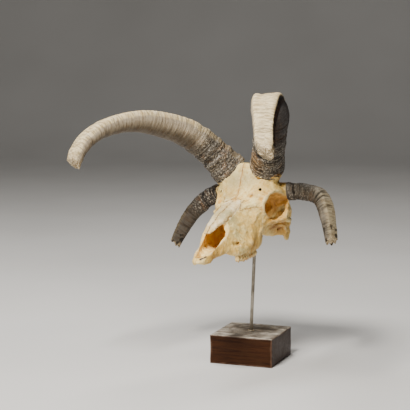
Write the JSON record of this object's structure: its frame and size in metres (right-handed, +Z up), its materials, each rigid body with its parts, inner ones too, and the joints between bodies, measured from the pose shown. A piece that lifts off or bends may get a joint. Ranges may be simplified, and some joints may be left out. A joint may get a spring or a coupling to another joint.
{
  "type": "four-horned ram skull on stand",
  "caption": "Dry skull of a four-horned ram without its lower jaw, held by a thin leaning rod in a dark wooden block.",
  "frame": {"origin": "middle of the wooden block's underside", "axes": "+Z up; the block's sides lie along X and Y; the snout points mostly along -Y and the skull's left side faces +X"},
  "size_m": [0.3298, 0.3157, 0.3952],
  "materials": {
    "bone": "dry ivory bone, matt to silky",
    "nasal_bone": "dry pale bone, silky",
    "horn": "weathered grey-brown horn, wrinkled",
    "steel": "dull drawn steel",
    "wood": "dark stained hardwood, worn and dusty on top"
  },
  "bodies": {
    "root": {"cranium": "bone", "upper_jaw_left": "bone", "upper_jaw_right": "bone", "front_jaw_left": "bone", "front_jaw_right": "bone", "cheekbone_left": "bone", "cheekbone_right": "bone", "nasal_left": "nasal_bone", "nasal_right": "nasal_bone", "horn_upper_left": "horn", "horn_upper_right": "horn", "horn_lower_left": "horn", "horn_lower_right": "horn", "stand_rod": "steel", "stand_block": "wood"}
  },
  "joints": []
}
